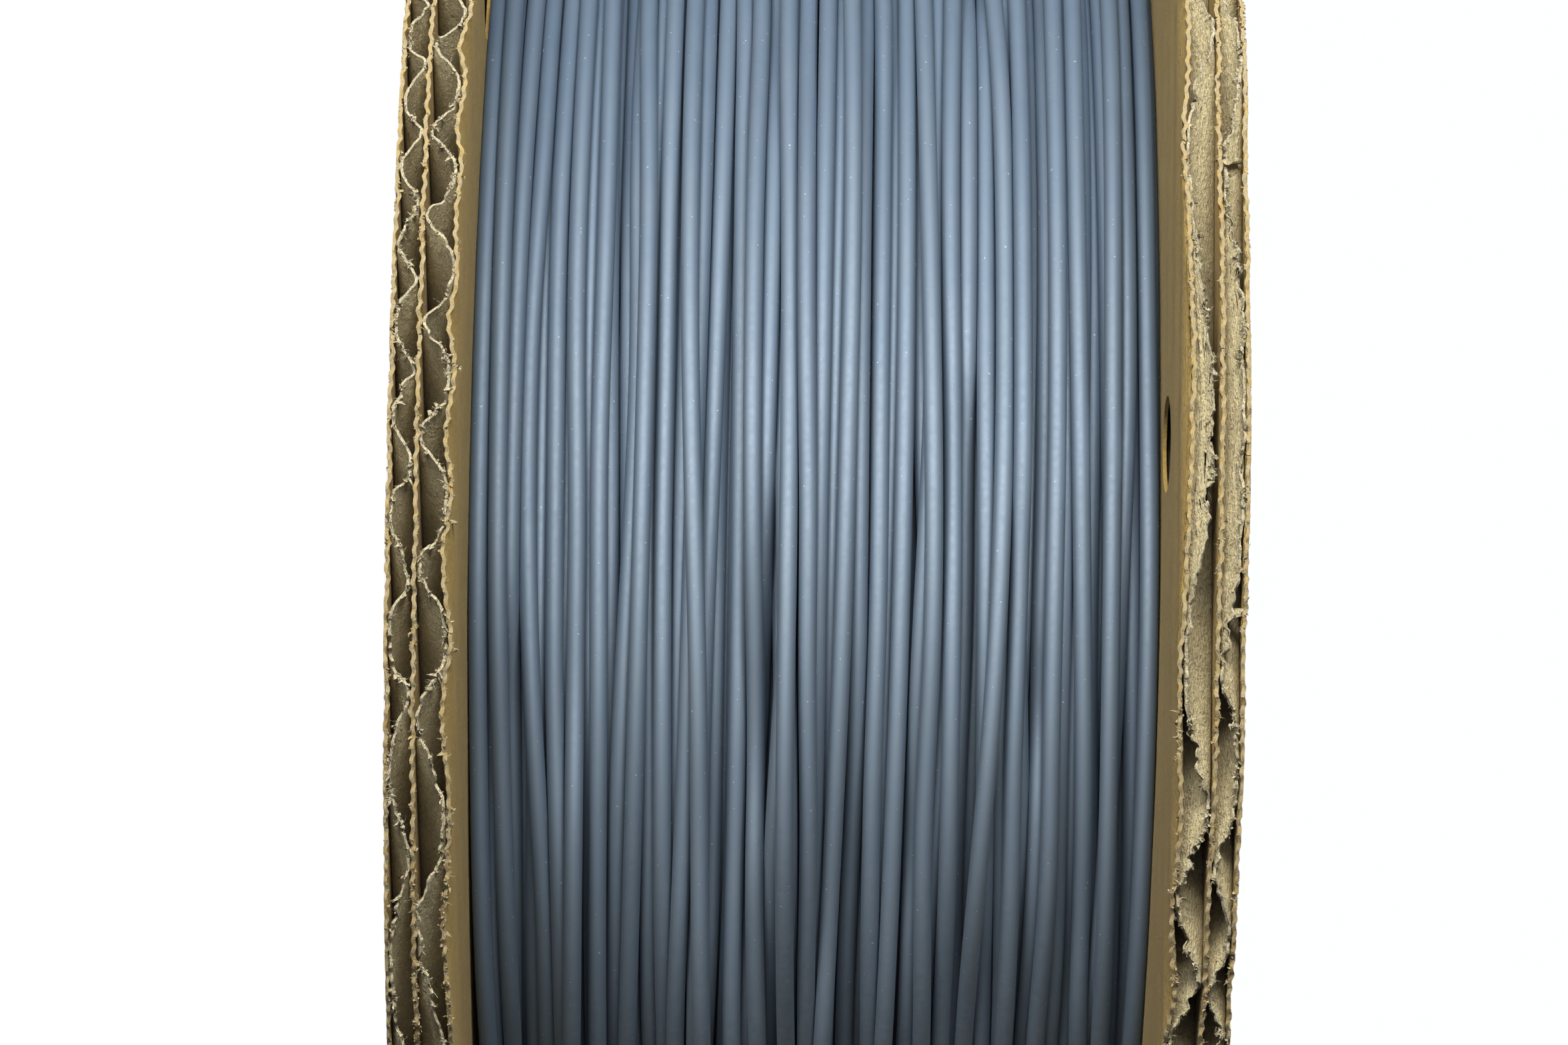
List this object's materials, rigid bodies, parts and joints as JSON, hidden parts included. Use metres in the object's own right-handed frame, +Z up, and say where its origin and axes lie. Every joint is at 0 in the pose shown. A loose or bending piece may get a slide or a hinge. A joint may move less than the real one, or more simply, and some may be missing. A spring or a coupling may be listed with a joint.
{
  "type": "cable spool",
  "caption": "Spool of thin cable: two round flanges of double-wall corrugated board on a paper core, with an arbor tube through the middle.",
  "frame": {"origin": "centre of the arbor hole at the lower flange's outer face, which the spool lies on", "axes": "+Z up along the spool's axis, from the lower flange to the upper one; -Y is the side that faces the front, and the lower flange's flutes run across a line 35.5 degrees from it"},
  "size_m": [0.23, 0.23, 0.088],
  "materials": {
    "kraft_liner": "matt unbleached kraft paper, with torn and fibrous cut edges",
    "fluting": "matt recycled fluting paper, ragged where it is cut",
    "greyboard": "matt spiral-wound paper tube",
    "cable_jacket": "satin blue-grey cable jacket"
  },
  "bodies": {
    "root": {"lower_outer_liner": "kraft_liner", "lower_b_medium": "fluting", "lower_middle_liner": "kraft_liner", "lower_c_medium": "fluting", "lower_inner_liner": "kraft_liner", "upper_inner_liner": "kraft_liner", "upper_c_medium": "fluting", "upper_middle_liner": "kraft_liner", "upper_b_medium": "fluting", "upper_outer_liner": "kraft_liner", "core_tube": "greyboard", "core_cover_ply": "kraft_liner", "arbor_tube": "greyboard", "lower_core_plug": "greyboard", "upper_core_plug": "greyboard", "cable_winding": "cable_jacket", "cable_start_end": "cable_jacket", "cable_outer_end": "cable_jacket"}
  },
  "joints": []
}
